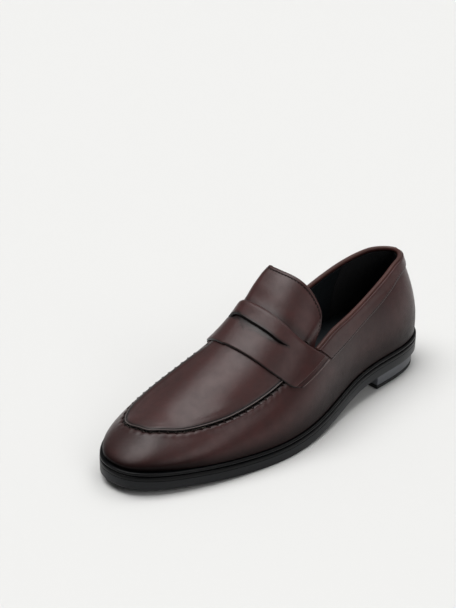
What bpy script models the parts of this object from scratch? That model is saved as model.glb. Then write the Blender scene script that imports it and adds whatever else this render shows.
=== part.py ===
"""Left penny loafer: stitched leather upper, linings, insole parts, moulded sole unit and heel.

Millimetres in the constants, metres in the meshes.  +Z is up, the toe points to -Y, +X is the
outer (lateral) side.  The floor is z = 0 and the middle of the bounding box is x = y = 0.

The shape of the last (the foot form) is one surface, addressed by two numbers:
  s  fraction of the way round the sole edge, from the heel, lateral side first, past the toe
  t  fraction of the way from the feather line (0) up to the ridge of the instep (1)
Every piece of leather is a patch of that surface, moved out or in by a few tenths.
"""
import bpy
import bmesh
import numpy as np

MM = 0.001

# Plan outline of the sole unit, from the middle of the heel round the lateral side.
SOLE_EDGE = [
    (-1, 150), (17, 143), (28, 130), (34, 108), (36, 80), (39.5, 50), (46.5, 20), (52.5, -10),
    (53.6, -40), (50, -65), (44.6, -88), (36.8, -110), (29, -127), (20, -140), (9.5, -148),
    (-4, -150), (-15, -147), (-26, -138), (-37, -123), (-44.5, -105), (-48, -85), (-46.8, -62),
    (-40, -35), (-31, -5), (-27.3, 25), (-29, 55), (-33, 85), (-34.3, 110), (-29, 131),
    (-18.5, 143)]
OUTLINE_CENTRE_X = 2.85

# Sole unit, heights above the curved underside of the outsole.
SOLE_CURVE = ((-150, -125, -95, -60, -35, -10, 20, 55, 80, 110, 150),
              (5.7, 3.7, 2.0, 0.3, 0.0, 0.8, 4.2, 10.3, 12.5, 12.8, 12.8))
OUTSOLE_THICK = 6.3
BAND_LOW = 6.6
BAND_HIGH = 12.5
BAND_WIDTH = 12.0
FEATHER = 12.8
FEATHER_INSET = 1.8
INSOLE_LOW, INSOLE_HIGH = 12.8, 15.0
SOCK_LOW, SOCK_THICK = 15.3, 1.0
PAD_THICK = 2.0
TOE_ROOM = 17.0
GAP = 0.3
HEEL_BREAST_Y = 82.0
HEEL_INSET = 2.6
TOP_PIECE_THICK = 3.0

# The last: ridge of the instep, roundness of the sections, fullness above the feather line.
RIDGE_Z = ((-150, -96, -60, -30, 0, 20, 40, 112), (21, 43, 60.5, 75.5, 96, 110, 118, 123))
RIDGE_X = ((-150, -96, -40, 10, 60, 112, 150), (-4.5, -3.9, -4, -13, -6, -2, -1))
ROUNDNESS = ((-150, -96, -40, 10, 60, 150), (2.3, 2.0, 2.1, 2.33, 2.2, 2.2))
FULLNESS = ((-150, -96, -40, 10, 60, 112, 150), (0.8, 0.7, 1.0, 0.5, 0.9, 1.4, 1.2))
LEAN_LATERAL = ((-20, 10, 40, 75, 112, 137, 150), (13, 12.5, 10, 12.7, 20, 19, 13.3))
LEAN_MEDIAL = ((-20, 10, 40, 75, 112, 137, 150), (8, 8, 8.2, 10.4, 17, 16.5, 13.3))
TOPLINE_Z = ((0, 15, 30, 45, 65, 87, 106, 125, 150), (64, 68, 71, 72.5, 75.5, 80.2, 84, 86.6, 87.5))
TOE_WALL = 0.45
RIDGE_TOE, RIDGE_HEEL, RIDGE_SOFT = -96.0, 112.0, 10.0

# Pattern lines.
SEAM_S = (0.20, 0.24, 0.30, 0.34, 0.37, 0.40, 0.43, 0.47, 0.51, 0.54, 0.565, 0.59, 0.62, 0.64, 0.66,
          0.685, 0.705, 0.722, 0.74, 0.765, 0.80)
SEAM_T = (0.40, 0.41, 0.43, 0.46, 0.53, 0.61, 0.67, 0.70, 0.69, 0.62, 0.54, 0.50, 0.505, 0.545, 0.605,
          0.69, 0.745, 0.76, 0.66, 0.43, 0.40)
COLLAR_SEAM = ((10, 20, 38, 60, 85, 108, 122, 150), (50.5, 52.3, 55, 60.3, 66.6, 73.2, 76.2, 78))
STRAP_V = (0, 0.15, 0.3, 0.5, 0.7, 0.85, 1)
STRAP_FRONT = ((0.285, 0.345, 0.41, 0.50, 0.64, 0.82, 1), (-17.5, -25, -29, -33, -37.5, -41, -42.5))
STRAP_REAR = ((0.235, 0.30, 0.365, 0.45, 0.60, 0.80, 1), (16.5, 10, 4.5, -1, -6.5, -9.3, -10.3))
TONGUE_T = (0.43, 0.467, 0.50, 0.567, 0.65, 0.733, 0.833, 1)
TONGUE_ROOT = (2.5, 0.5, -2, -4.5, -7, -10, -12.5, -13.5)
TONGUE_TOP = (12.5, 16.9, 19.2, 20.4, 19.9, 18.8, 16.9, 15.5)
SLOT_MIDDLE_X = -2.2
SLOT_REAR = [(0, -22.2), (9, -21.7), (17, -20.6), (25, -18.8), (31.5, -15.8)]
SLOT_FRONT = [(28, -19.2), (22, -22.6), (14, -24.8), (6, -26.2), (3, -27.7)]
SLOT_CUSP = (0, -29.2)
WALL_END_Y = 25.0
APRON_END_Y = -15.0
TONGUE_HINGE = (0.0, -10.5, 86.0)

# Layers, as distances outside (+) or inside (-) the surface of the last.
LEATHER = (0.0, 1.3)
STIFFENER = (-1.6, 0.7)
LINING = (-2.6, 0.8)
COLLAR_LAYER = (1.25, 0.9)
STRAP_LAYER = (2.2, 1.4)
TONGUE_LINING_LAYER = (-1.65, 0.8)
BEAD_RADIUS = 1.6
BEAD_DEPTH = 1.7

STATIONS = 80

COLORS = {
    "leather": (0.13, 0.055, 0.045, 1), "binding": (0.20, 0.10, 0.07, 1),
    "lining": (0.03, 0.03, 0.035, 1), "grip": (0.05, 0.05, 0.055, 1),
    "stiffener": (0.55, 0.50, 0.42, 1), "board": (0.45, 0.33, 0.22, 1),
    "foam": (0.25, 0.25, 0.24, 1), "cork": (0.42, 0.27, 0.15, 1), "steel": (0.6, 0.6, 0.62, 1),
    "rubber": (0.03, 0.032, 0.038, 1), "heel": (0.08, 0.085, 0.10, 1)}


def smooth(x):
    """Ease from 0 to 1."""
    x = np.clip(x, 0, 1)
    return x * x * (3 - 2 * x)


def spline(table):
    """Natural cubic through (positions, values), as a function."""
    xs, ys = np.array(table[0], float), np.array(table[1], float)
    n = len(xs)
    h = np.diff(xs)
    matrix, right = np.eye(n), np.zeros(n)
    for i in range(1, n - 1):
        matrix[i, i - 1:i + 2] = h[i - 1], 2 * (h[i - 1] + h[i]), h[i]
        right[i] = 6 * ((ys[i + 1] - ys[i]) / h[i] - (ys[i] - ys[i - 1]) / h[i - 1])
    bend = np.linalg.solve(matrix, right)

    def value(x):
        x = np.clip(x, xs[0], xs[-1])
        i = np.clip(np.searchsorted(xs, x) - 1, 0, n - 2)
        a, b, w = xs[i + 1] - x, x - xs[i], h[i]
        cubic = (bend[i] * a**3 + bend[i + 1] * b**3) / (6 * w)
        return cubic + (ys[i] / w - bend[i] * w / 6) * a + (ys[i + 1] / w - bend[i + 1] * w / 6) * b
    return value


def closed_curve(points):
    """Periodic cubic through plan points, knots spaced by the square root of the chords."""
    p = np.array(points, float)
    n = len(p)
    d = np.sqrt(np.linalg.norm(np.roll(p, -1, 0) - p, axis=1))
    matrix, right = np.zeros((n, n)), np.zeros_like(p)
    for i in range(n):
        after = (i + 1) % n
        matrix[i, i - 1] += d[i - 1]
        matrix[i, i] += 2 * (d[i - 1] + d[i])
        matrix[i, after] += d[i]
        right[i] = 6 * ((p[after] - p[i]) / d[i] - (p[i] - p[i - 1]) / d[i - 1])
    bend = np.linalg.solve(matrix, right)
    knots = np.concatenate([[0], np.cumsum(d)]) / d.sum()

    def value(s):
        s = np.mod(s, 1.0)
        i = np.clip(np.searchsorted(knots, s, side="right") - 1, 0, n - 1)
        j = (i + 1) % n
        w = d[i][..., None]
        b = ((s - knots[i]) * d.sum())[..., None]
        a = w - b
        cubic = (bend[i] * a**3 + bend[j] * b**3) / (6 * w)
        return cubic + (p[i] / w - bend[i] * w / 6) * a + (p[j] / w - bend[j] * w / 6) * b
    return value


sole_edge = closed_curve(SOLE_EDGE)
sole_curve = spline(SOLE_CURVE)
ridge_z, ridge_x = spline(RIDGE_Z), spline(RIDGE_X)
roundness, fullness = spline(ROUNDNESS), spline(FULLNESS)
lean_lateral, lean_medial = spline(LEAN_LATERAL), spline(LEAN_MEDIAL)
topline_z, collar_seam_z = spline(TOPLINE_Z), spline(COLLAR_SEAM)
seam_t = spline((SEAM_S, SEAM_T))


def underside(y):
    """Height of the outsole's underside."""
    return np.maximum(sole_curve(y), 0)


def inward(s):
    """Unit vector pointing into the sole outline."""
    along = sole_edge(s + 1e-4) - sole_edge(s - 1e-4)
    across = np.stack([along[..., 1], -along[..., 0]], -1)
    return across / np.linalg.norm(across, axis=-1)[..., None]


def plan(s, inset):
    """Outline of the sole at fraction s, moved inwards."""
    return sole_edge(s) + np.asarray(inset)[..., None] * inward(s)


EDGE_S = np.linspace(0, 1, 2401)
EDGE_Y = sole_edge(EDGE_S)[:, 1]
TOE_S = EDGE_S[np.argmin(EDGE_Y)]


def around(y, side):
    """Fraction round the edge at station y; side is +1 for lateral and -1 for medial."""
    if side > 0:
        half = EDGE_S <= TOE_S
        return np.interp(-np.asarray(y, float), -EDGE_Y[half], EDGE_S[half])
    half = EDGE_S >= TOE_S
    return np.interp(y, EDGE_Y[half], EDGE_S[half])


def ridge_station(y):
    """The ridge stops short of the toe and of the heel."""
    a = RIDGE_TOE + RIDGE_SOFT * np.logaddexp(0, (y - RIDGE_TOE) / RIDGE_SOFT)
    return RIDGE_HEEL - RIDGE_SOFT * np.logaddexp(0, (RIDGE_HEEL - a) / RIDGE_SOFT)


def ridge_slope(y):
    """Fall of the ridge towards the toe, eased off over the toe itself so that it keeps a wall."""
    station = ridge_station(y)
    slope = (ridge_z(station + 1) - ridge_z(station - 1)) / 2
    return slope * (1 - TOE_WALL * smooth((-y - 95) / 45))


def toe_share(s):
    """1 at the tip of the toe, 0 behind it."""
    return smooth((-100 - plan(s, FEATHER_INSET)[..., 1]) / 40)


def last_surface(s, t, instep=False):
    """Points of the last.  Behind the vamp the walls lean in to the topline, except on the instep."""
    foot = plan(s, FEATHER_INSET)
    y = foot[..., 1]
    low = underside(y) + FEATHER
    station = ridge_station(y)
    crest = np.stack([ridge_x(station), station], -1)
    towards = crest - foot
    reach = np.linalg.norm(towards, axis=-1)
    towards = towards / reach[..., None]
    power = 2 / roundness(y)
    angle = np.clip(t, 0, 1) * np.pi / 2
    up = np.sin(angle)**power
    swell = fullness(y)
    arch = reach * (1 - np.cos(angle)**power) - swell * np.sin(np.pi * np.clip(up / 0.75, 0, 1))
    slope = ridge_slope(y)
    z = low + (ridge_z(station) + slope * (y + towards[..., 1] * arch - station) - low) * up
    height = (z - low) / (topline_z(y) + 8 - low)
    lean = np.where(foot[..., 0] > ridge_x(y), lean_lateral(y), lean_medial(y))
    wall = lean * height**2 - swell * np.sin(np.pi * np.clip(height / 0.75, 0, 1))
    share = smooth((y + 10) / 45) * (1 - smooth((height - 0.95) / 0.35)) * (0 if instep else 1)
    run = arch * (1 - share) + wall * share
    point = foot + towards * run[..., None]
    return np.concatenate([point - [OUTLINE_CENTRE_X, 0], z[..., None]], -1)


def on_last(s, t, offset, instep=False):
    """Points at a distance outside the last."""
    s, t = np.broadcast_arrays(np.asarray(s, float), np.asarray(t, float))
    tn = np.clip(t, 0.004, 0.98)
    along = last_surface(s + 5e-4, tn, instep) - last_surface(s - 5e-4, tn, instep)
    rise = last_surface(s, tn + 4e-3, instep) - last_surface(s, tn - 4e-3, instep)
    normal = np.cross(rise, along)
    normal /= np.linalg.norm(normal, axis=-1)[..., None]
    slope = ridge_slope(plan(s, FEATHER_INSET)[..., 1])
    top = np.stack([0 * slope, -slope, 1 + 0 * slope], -1)
    top /= np.linalg.norm(top, axis=-1)[..., None]
    share = smooth((t - 0.88) / 0.12)[..., None]
    normal = normal * (1 - share) + top * share
    normal /= np.linalg.norm(normal, axis=-1)[..., None]
    return last_surface(s, t, instep) + offset * normal


def level(s, z):
    """Fraction t at which the wall of the last reaches height z."""
    t = np.linspace(0, 1, 161)
    heights = last_surface(np.asarray(s)[:, None] + 0 * t, t + 0 * np.asarray(s)[:, None])[..., 2]
    return np.array([np.interp(want, row, t) for want, row in zip(z, heights)])


def columns(start, end):
    """Fractions round the edge from start to end, on the stations all layers share."""
    shared = np.arange(-STATIONS, 2 * STATIONS) / STATIONS
    inside = shared[(shared > start + 0.004) & (shared < end - 0.004)]
    return np.concatenate([[start], inside, [end]])


def make_material(name, color, roughness, metallic=0.0):
    """Plain Principled material."""
    material = bpy.data.materials.new(name)
    material.use_nodes = True
    shader = material.node_tree.nodes["Principled BSDF"]
    shader.inputs["Base Color"].default_value = color
    shader.inputs["Roughness"].default_value = roughness
    shader.inputs["Metallic"].default_value = metallic
    material.diffuse_color = color
    return material


def add_object(name, mesh, look, roughness=0.5, metallic=0.0):
    """Put a mesh in the loafer's collection under its own name and material."""
    obj = bpy.data.objects.new(name, mesh)
    mesh.name = name
    mesh.materials.clear()
    mesh.materials.append(make_material(name, COLORS[look], roughness, metallic))
    bpy.data.collections["penny_loafer"].objects.link(obj)
    mesh.shade_smooth()
    mesh.set_sharp_from_angle(angle=0.7)
    return obj


def add_sheet(name, grid, thickness, look, roughness=0.5):
    """Sheet through a grid of outer points, thickened towards the foot."""
    rows, cols = grid.shape[:2]
    work = bmesh.new()
    verts = [work.verts.new(p * MM) for p in grid.reshape(-1, 3)]
    for i in range(rows - 1):
        for j in range(cols - 1):
            k = i * cols + j
            work.faces.new([verts[k], verts[k + 1], verts[k + cols + 1], verts[k + cols]])
    bmesh.ops.remove_doubles(work, verts=work.verts, dist=0.0001)
    bmesh.ops.recalc_face_normals(work, faces=work.faces)
    outward = 0.0
    for face in work.faces:
        middle = face.calc_center_median()
        outward += face.normal.x * middle.x + face.normal.z * 0.02
    if outward < 0:
        bmesh.ops.reverse_faces(work, faces=work.faces)
    mesh = bpy.data.meshes.new(name)
    work.to_mesh(mesh)
    work.free()
    obj = add_object(name, mesh, look, roughness)
    solid = obj.modifiers.new("Thickness", "SOLIDIFY")
    solid.thickness = thickness * MM
    solid.offset = -1
    solid.use_even_offset = True
    return obj


def wall_grid(s, t_low, t_high, rows, offset):
    """Grid of points between two pattern lines given for each s, rows closer near the lower one."""
    w = np.linspace(0, 1, rows)[None]**1.4
    t = np.asarray(t_low)[:, None] * (1 - w) + np.asarray(t_high)[:, None] * w
    return on_last(s[:, None] + 0 * t, t, offset)


def add_slab(name, outline, low, high, look, roughness=0.6, metallic=0.0, cuts=14):
    """Plate with a plan outline; its two faces follow the curve of the sole along y."""
    work = bmesh.new()
    face = work.faces.new([work.verts.new((x * MM, y * MM, 0)) for x, y in outline])
    if face.normal.z > 0:
        face.normal_flip()
    ys = outline[:, 1]
    for y in np.linspace(ys.min(), ys.max(), cuts + 2)[1:-1]:
        everything = work.verts[:] + work.edges[:] + work.faces[:]
        bmesh.ops.bisect_plane(work, geom=everything, dist=1e-5, plane_co=(0, y * MM, 0), plane_no=(0, 1, 0))
    bottom = work.verts[:]
    grown = bmesh.ops.extrude_face_region(work, geom=work.faces[:], use_keep_orig=True)
    top = [g for g in grown["geom"] if isinstance(g, bmesh.types.BMVert)]
    for vert in top:
        vert.co.z = float(high(vert.co.y / MM)) * MM
    for vert in bottom:
        vert.co.z = float(low(vert.co.y / MM)) * MM
    bmesh.ops.recalc_face_normals(work, faces=work.faces)
    mesh = bpy.data.meshes.new(name)
    work.to_mesh(mesh)
    work.free()
    return add_object(name, mesh, look, roughness, metallic)


def sole_outline(inset, front=-200.0, count=72, toe_inset=0.0):
    """Plan outline in the part's frame, cut off square in front of a station, drawn in at the toe."""
    s = np.arange(count) / count
    drawn_in = toe_inset * smooth((-112 - sole_edge(s)[:, 1]) / 38)
    p = plan(s, inset + drawn_in) - [OUTLINE_CENTRE_X, 0]
    p = p[p[:, 1] > front + 1.5]
    if front > -200.0:
        turn = np.argmax(np.linalg.norm(np.roll(p, -1, 0) - p, axis=1))
        ends = [(x, front) for x in (p[turn, 0], p[(turn + 1) % len(p), 0])]
        p = np.insert(p, turn + 1, ends, axis=0)
    return p


def above(height):
    """A height measured from the underside of the outsole, as a function of y."""
    return lambda y: underside(y) + height


def add_outsole():
    """Outsole plate, full outline."""
    add_slab("outsole", sole_outline(0), above(0), above(OUTSOLE_THICK), "heel", 0.4)


def add_welt_band():
    """Moulded band round the upper, with a bead under the feather line."""
    profile = [(0, BAND_LOW), (0, 9.3), (1.0, 9.8), (1.0, 10.3), (0.2, 10.8), (0.2, 12.0),
               (0.8, BAND_HIGH), (BAND_WIDTH, BAND_HIGH), (BAND_WIDTH, BAND_LOW)]
    count = 72
    s = np.arange(count) / count
    work = bmesh.new()
    rings = []
    for inset, height in profile:
        p = plan(s, inset)
        z = underside(p[:, 1]) + height
        rings.append([work.verts.new(((x - OUTLINE_CENTRE_X) * MM, y * MM, h * MM)) for (x, y), h in zip(p, z)])
    for k, ring in enumerate(rings):
        after = rings[(k + 1) % len(rings)]
        for i in range(count):
            j = (i + 1) % count
            work.faces.new([ring[i], ring[j], after[j], after[i]])
    bmesh.ops.recalc_face_normals(work, faces=work.faces)
    mesh = bpy.data.meshes.new("welt_band")
    work.to_mesh(mesh)
    work.free()
    add_object("welt_band", mesh, "rubber", 0.35)


def box_outline(x0, x1, y0, y1):
    """Rectangle in plan."""
    return np.array([(x0, y0), (x1, y0), (x1, y1), (x0, y1)], float)


def cut(obj, cutter):
    """Exact Boolean difference; the cutter goes to its own collection."""
    hold = bpy.data.collections["penny_loafer_cutters"]
    for group in cutter.users_collection:
        group.objects.unlink(cutter)
    hold.objects.link(cutter)
    cutter.hide_render = True
    cutter.display_type = "WIRE"
    boolean = obj.modifiers.new("Cut", "BOOLEAN")
    boolean.operation = "DIFFERENCE"
    boolean.solver = "EXACT"
    boolean.object = cutter


def add_filler_and_shank():
    """Cork sheet inside the band, with the steel shank let into it under the arch."""
    inset = BAND_WIDTH + GAP
    filler = add_slab("cork_filler", sole_outline(inset, count=60), above(BAND_LOW), above(BAND_HIGH), "cork", 0.9)
    add_slab("shank", box_outline(-7.5, 5.5, -25, 95), above(10.7), above(12.3), "steel", 0.3, 1.0)
    slot = add_slab("shank_slot", box_outline(-7.8, 5.8, -25.3, 95.3), above(10.4), above(20), "cork")
    cut(filler, slot)


def add_insole_parts():
    """Insole board, heel pad, and the sock liner that rises over the pad."""
    board = sole_outline(5.7, toe_inset=TOE_ROOM)
    add_slab("insole_board", board, above(INSOLE_LOW), above(INSOLE_HIGH), "board", 0.8)
    pad = sole_outline(9, front=64)
    add_slab("heel_pad", pad, above(SOCK_LOW), above(SOCK_LOW + PAD_THICK), "foam", 0.9, cuts=5)

    def sock_low(y):
        return underside(y) + SOCK_LOW + (PAD_THICK + GAP) * smooth((y - 48) / 14)

    def sock_high(y):
        return sock_low(y) + SOCK_THICK
    sock = sole_outline(5.9, toe_inset=TOE_ROOM)
    add_slab("sock_liner", sock, sock_low, sock_high, "lining", 0.7, cuts=22)


def add_heel():
    """Heel block under the outsole, and the rubber top piece on the floor."""
    outline = sole_outline(HEEL_INSET, front=HEEL_BREAST_Y)

    def floor(y):
        return 0 * y

    def top_piece_high(y):
        return 0 * y + TOP_PIECE_THICK

    def block_low(y):
        return 0 * y + TOP_PIECE_THICK + GAP

    def block_high(y):
        return underside(y) - GAP
    add_slab("heel_block", outline, block_low, block_high, "heel", 0.4, cuts=3)
    add_slab("heel_top_piece", outline, floor, top_piece_high, "rubber", 0.7, cuts=1)


def wall_top(s):
    """Upper edge of the wall: the apron seam, then under the strap into the topline."""
    y = plan(s, FEATHER_INSET)[:, 1]
    topline = level(s, topline_z(y) - 2 * BEAD_RADIUS - GAP)
    seam = seam_t(s) - 0.005
    behind = smooth(y / 8)
    return seam * (1 - behind) + topline * behind


def add_walls():
    """Vamp wall with the lateral quarter in one piece, and the separate medial quarter."""
    s = columns(0.0008, float(around(WALL_END_Y, -1)))
    add_sheet("vamp_wall", wall_grid(s, 0 * s + 0.004, wall_top(s), 9, LEATHER[0]), LEATHER[1], "leather")
    s = columns(float(around(WALL_END_Y + 0.6, -1)), 0.9992)
    add_sheet("medial_quarter", wall_grid(s, 0 * s + 0.004, wall_top(s), 9, LEATHER[0]), LEATHER[1], "leather")


def paired_columns(end_y):
    """Stations from the lateral side round the toe, the same y on both sides."""
    lateral = columns(float(around(end_y, 1)), float(TOE_S))
    y = sole_edge(lateral)[:, 1]
    medial = around(y[:-1], -1)[::-1]
    return np.concatenate([lateral, medial])


def crown_grid(s, t_low, rows, offset):
    """Grid from a pattern line up to the ridge; both sides meet on the ridge."""
    grid = wall_grid(s, t_low, 0 * s + 1, rows, offset)
    half = len(s) // 2
    for k in range(half):
        middle = (grid[k, -1] + grid[-1 - k, -1]) / 2
        grid[k, -1] = middle
        grid[-1 - k, -1] = middle
    return grid


def add_apron():
    """Apron over the toes, back to a hidden edge under the strap."""
    s = paired_columns(APRON_END_Y)
    add_sheet("apron", crown_grid(s, seam_t(s) + 0.004, 7, LEATHER[0]), LEATHER[1], "leather")


def add_stiffeners():
    """Toe puff and heel counter between leather and lining."""
    s = columns(float(around(-92, 1)), float(around(-92, -1)))
    puff = wall_grid(s, 0.01 + 0.25 * toe_share(s), 0 * s + 0.8, 10, STIFFENER[0])
    add_sheet("toe_puff", puff, STIFFENER[1], "stiffener", 0.8)
    s = columns(float(around(72, -1)) - 1, float(around(72, 1)))
    y = plan(s, FEATHER_INSET)[:, 1]
    top = level(np.mod(s, 1), 44 + 20 * smooth((y - 72) / 60))
    counter = wall_grid(s, 0 * s + 0.01, top, 6, STIFFENER[0])
    add_sheet("heel_counter", counter, STIFFENER[1], "stiffener", 0.8)


def lining_top(s):
    """Upper edge of the quarter linings, just under the bead."""
    y = plan(s, FEATHER_INSET)[:, 1]
    topline = level(np.mod(s, 1), topline_z(y) - 2 * BEAD_RADIUS - GAP)
    under_strap = 0.345 + 0 * s
    behind = smooth(y / 8)
    return under_strap * (1 - behind) + topline * behind


def add_linings():
    """Vamp lining, two quarter linings and the heel grip."""
    s = paired_columns(APRON_END_Y)
    add_sheet("vamp_lining", crown_grid(s, 0.01 + 0.32 * toe_share(s), 12, LINING[0]), LINING[1], "lining", 0.7)
    for name, side in (("quarter_lining_lateral", 1), ("quarter_lining_medial", -1)):
        ends = sorted([float(around(APRON_END_Y + 0.5, side)), float(around(96, side))])
        s = columns(*ends)
        add_sheet(name, wall_grid(s, 0 * s + 0.01, lining_top(s), 8, LINING[0]), LINING[1], "lining", 0.7)
    s = columns(float(around(96.6, -1)) - 1, float(around(96.6, 1)))
    add_sheet("heel_grip", wall_grid(s, 0 * s + 0.01, lining_top(s), 8, LINING[0]), LINING[1], "grip", 0.9)


def add_collar_band():
    """Narrow band stitched round the opening, from strap to strap round the heel."""
    rows = np.linspace(0, 1, 4)
    start_y = 19.8 - 12.2 * rows
    first = around(start_y, 1)
    final = around(start_y, -1) - 1
    u = np.linspace(0, 1, 64)[:, None]
    s = first[None] * (1 - u) + final[None] * u
    y = plan(np.mod(s, 1), FEATHER_INSET)[..., 1]
    z = collar_seam_z(y) * (1 - rows) + (topline_z(y) - 2.0) * rows
    t = level(np.mod(s, 1).ravel(), z.ravel()).reshape(s.shape)
    add_sheet("collar_band", on_last(s, t, COLLAR_LAYER[0]), COLLAR_LAYER[1], "leather")


def add_topline_binding():
    """Rolled edge round the opening."""
    s = np.linspace(float(around(9, 1)), float(around(9, -1)) - 1, 56)
    y = plan(np.mod(s, 1), FEATHER_INSET)[:, 1]
    t = level(np.mod(s, 1), topline_z(y) - BEAD_RADIUS)
    path = on_last(s, t, -BEAD_DEPTH)
    curve = bpy.data.curves.new("topline_path", "CURVE")
    curve.dimensions = "3D"
    curve.bevel_depth = BEAD_RADIUS * MM
    curve.bevel_resolution = 2
    curve.use_fill_caps = True
    line = curve.splines.new("POLY")
    line.points.add(len(path) - 1)
    for point, place in zip(line.points, path):
        point.co = (*(place * MM), 1)
    holder = bpy.data.objects.new("topline_path", curve)
    mesh = bpy.data.meshes.new_from_object(holder)
    bpy.data.objects.remove(holder)
    bpy.data.curves.remove(curve)
    work = bmesh.new()
    work.from_mesh(mesh)
    bmesh.ops.remove_doubles(work, verts=work.verts, dist=0.00001)
    bmesh.ops.recalc_face_normals(work, faces=work.faces)
    work.to_mesh(mesh)
    work.free()
    add_object("topline_binding", mesh, "binding", 0.4)


def saddle_grid(across, front, rear, lengthwise, offset, instep):
    """Patch over the instep: the same front and rear lines on both sides, given as (t, y)."""
    w = np.linspace(0, 1, lengthwise)
    grid = []
    for side in (1, -1):
        v = across if side > 0 else across[-2::-1]
        t = front[0](v)[:, None] * (1 - w) + rear[0](v)[:, None] * w
        y = front[1](v)[:, None] * (1 - w) + rear[1](v)[:, None] * w
        grid.append(on_last(around(y, side), np.minimum(t, 1), offset, instep))
    return np.concatenate(grid)


def add_strap():
    """Saddle strap with the keeper slot cut through it."""
    front = (spline((STRAP_V, STRAP_FRONT[0])), spline((STRAP_V, STRAP_FRONT[1])))
    rear = (spline((STRAP_V, STRAP_REAR[0])), spline((STRAP_V, STRAP_REAR[1])))
    grid = saddle_grid(np.linspace(0, 1, 15), front, rear, 8, STRAP_LAYER[0], False)
    strap = add_sheet("saddle_strap", grid, STRAP_LAYER[1], "leather")
    right = SLOT_REAR + SLOT_FRONT
    left = [(-x, y) for x, y in right[::-1] if x > 0]
    outline = np.array(right + [SLOT_CUSP] + left, float) + [SLOT_MIDDLE_X, 0]

    def low(y):
        return 0 * y + 60

    def high(y):
        return 0 * y + 105
    cut(strap, add_slab("keeper_slot", outline, low, high, "leather", cuts=1))


def add_tongue():
    """Tongue standing up behind the strap, and its lining; both turn about the strap's rear edge."""
    reach = np.linspace(0, 1, 12)
    lowest = TONGUE_T[0]
    lines = [spline((TONGUE_T, TONGUE_ROOT)), spline((TONGUE_T, TONGUE_TOP))]
    for name, layer, trim, look in (("tongue", LEATHER, 0.0, "leather"),
                                    ("tongue_lining", TONGUE_LINING_LAYER, 1.0, "lining")):
        start = lowest + 0.012 * trim

        def height(v, start=start):
            return start + (1 - start) * v

        def root(v, start=start, trim=trim):
            return lines[0](start + (1 - start) * v) + 0.3 * trim

        def top(v, start=start, trim=trim):
            return lines[1](start + (1 - start) * v) - trim
        grid = saddle_grid(reach, (height, root), (height, top), 7, layer[0], True)
        obj = add_sheet(name, grid, layer[1], look)
        shift = np.array(TONGUE_HINGE) * MM
        for vert in obj.data.vertices:
            vert.co = [a - b for a, b in zip(vert.co, shift)]
        obj.location = shift


def main():
    """Clear the scene and build every piece."""
    for obj in list(bpy.data.objects):
        bpy.data.objects.remove(obj)
    for name in ("penny_loafer", "penny_loafer_cutters"):
        bpy.context.scene.collection.children.link(bpy.data.collections.new(name))
    add_outsole()
    add_welt_band()
    add_filler_and_shank()
    add_insole_parts()
    add_heel()
    add_walls()
    add_apron()
    add_stiffeners()
    add_linings()
    add_collar_band()
    add_topline_binding()
    add_strap()
    add_tongue()


main()
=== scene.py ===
"""Looks of the left penny loafer: detailed leather, thread, linings and sole around the CAD frame.

Constants are millimetres; meshes are metres.  +Z is up, the toe points to -Y, +X is lateral.
The last (the foot form) is the same surface as in the CAD: s runs round the sole edge from the
heel, lateral side first, and t climbs from the feather line (0) to the ridge of the instep (1).
"""

import bmesh
import bpy
import numpy as np
from mathutils import Matrix, Vector


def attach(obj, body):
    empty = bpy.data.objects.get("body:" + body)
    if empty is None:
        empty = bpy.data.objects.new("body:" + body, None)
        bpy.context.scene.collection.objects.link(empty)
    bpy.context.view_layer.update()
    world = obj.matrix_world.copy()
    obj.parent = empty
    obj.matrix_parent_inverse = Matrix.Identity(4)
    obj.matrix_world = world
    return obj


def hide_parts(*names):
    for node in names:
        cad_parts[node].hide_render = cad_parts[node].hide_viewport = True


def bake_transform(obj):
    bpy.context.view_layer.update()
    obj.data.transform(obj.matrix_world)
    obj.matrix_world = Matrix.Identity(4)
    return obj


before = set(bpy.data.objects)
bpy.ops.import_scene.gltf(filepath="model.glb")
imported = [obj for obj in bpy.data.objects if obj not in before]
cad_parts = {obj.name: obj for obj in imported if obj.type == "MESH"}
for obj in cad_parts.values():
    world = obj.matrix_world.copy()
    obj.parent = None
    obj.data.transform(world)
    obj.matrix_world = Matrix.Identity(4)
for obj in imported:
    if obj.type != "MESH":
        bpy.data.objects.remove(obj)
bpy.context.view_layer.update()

MM = 0.001
CENTRE_X = 2.85

# Plan outline of the sole unit, from the middle of the heel round the lateral side.
SOLE_EDGE = [
    (-1, 150), (17, 143), (28, 130), (34, 108), (36, 80), (39.5, 50), (46.5, 20), (52.5, -10),
    (53.6, -40), (50, -65), (44.6, -88), (36.8, -110), (29, -127), (20, -140), (9.5, -148),
    (-4, -150), (-15, -147), (-26, -138), (-37, -123), (-44.5, -105), (-48, -85), (-46.8, -62),
    (-40, -35), (-31, -5), (-27.3, 25), (-29, 55), (-33, 85), (-34.3, 110), (-29, 131),
    (-18.5, 143)]

# Sole unit, heights above the curved underside of the outsole.
SOLE_CURVE = ((-150, -125, -95, -60, -35, -10, 20, 55, 80, 110, 150),
              (5.7, 3.7, 2.0, 0.3, 0.0, 0.8, 4.2, 10.3, 12.5, 12.8, 12.8))
OUTSOLE_THICK = 6.3
BAND_LOW = 6.6
BAND_HIGH = 12.5
BAND_WIDTH = 12.0
FEATHER = 12.8
FEATHER_INSET = 1.8
SOCK_LOW, SOCK_THICK = 15.3, 1.0
PAD_THICK = 2.0
TOE_ROOM = 17.0
GAP = 0.3
HEEL_BREAST_Y = 82.0
HEEL_INSET = 2.6
TOP_PIECE_THICK = 3.0

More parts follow.
